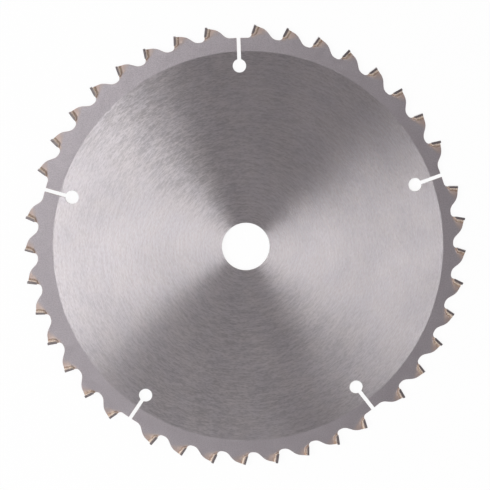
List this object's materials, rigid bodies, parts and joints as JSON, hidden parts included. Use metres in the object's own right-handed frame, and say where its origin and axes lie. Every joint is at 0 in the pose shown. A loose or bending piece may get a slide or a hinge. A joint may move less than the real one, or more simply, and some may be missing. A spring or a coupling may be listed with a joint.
{
  "type": "circular saw blade",
  "caption": "Thin circular saw blade with brazed carbide teeth in groups, keyhole expansion slots and a central bore; ground faces inside a blasted rim.",
  "frame": {"origin": "centre of the bore, at the middle of the plate's thickness", "axes": "+Z along the spindle's axis; +Y through the first expansion slot; seen from +Z the blade cuts counter-clockwise"},
  "size_m": [0.1849, 0.1847, 0.0022],
  "materials": {
    "plate_steel": "ground in circles inside a matt blasted rim",
    "carbide": "fine ground, dark grey",
    "braze": "satin, bronze to pale silver"
  },
  "bodies": {
    "root": {"plate": "plate_steel", "tip_01": "carbide", "tip_02": "carbide", "tip_03": "carbide", "tip_04": "carbide", "tip_05": "carbide", "tip_06": "carbide", "tip_07": "carbide", "tip_08": "carbide", "tip_09": "carbide", "tip_10": "carbide", "tip_11": "carbide", "tip_12": "carbide", "tip_13": "carbide", "tip_14": "carbide", "tip_15": "carbide", "tip_16": "carbide", "tip_17": "carbide", "tip_18": "carbide", "tip_19": "carbide", "tip_20": "carbide", "tip_21": "carbide", "tip_22": "carbide", "tip_23": "carbide", "tip_24": "carbide", "tip_25": "carbide", "tip_26": "carbide", "tip_27": "carbide", "tip_28": "carbide", "tip_29": "carbide", "tip_30": "carbide", "tip_31": "carbide", "tip_32": "carbide", "tip_33": "carbide", "tip_34": "carbide", "tip_35": "carbide", "tip_36": "carbide", "tip_37": "carbide", "tip_38": "carbide", "tip_39": "carbide", "tip_40": "carbide", "braze": "braze"}
  },
  "joints": []
}
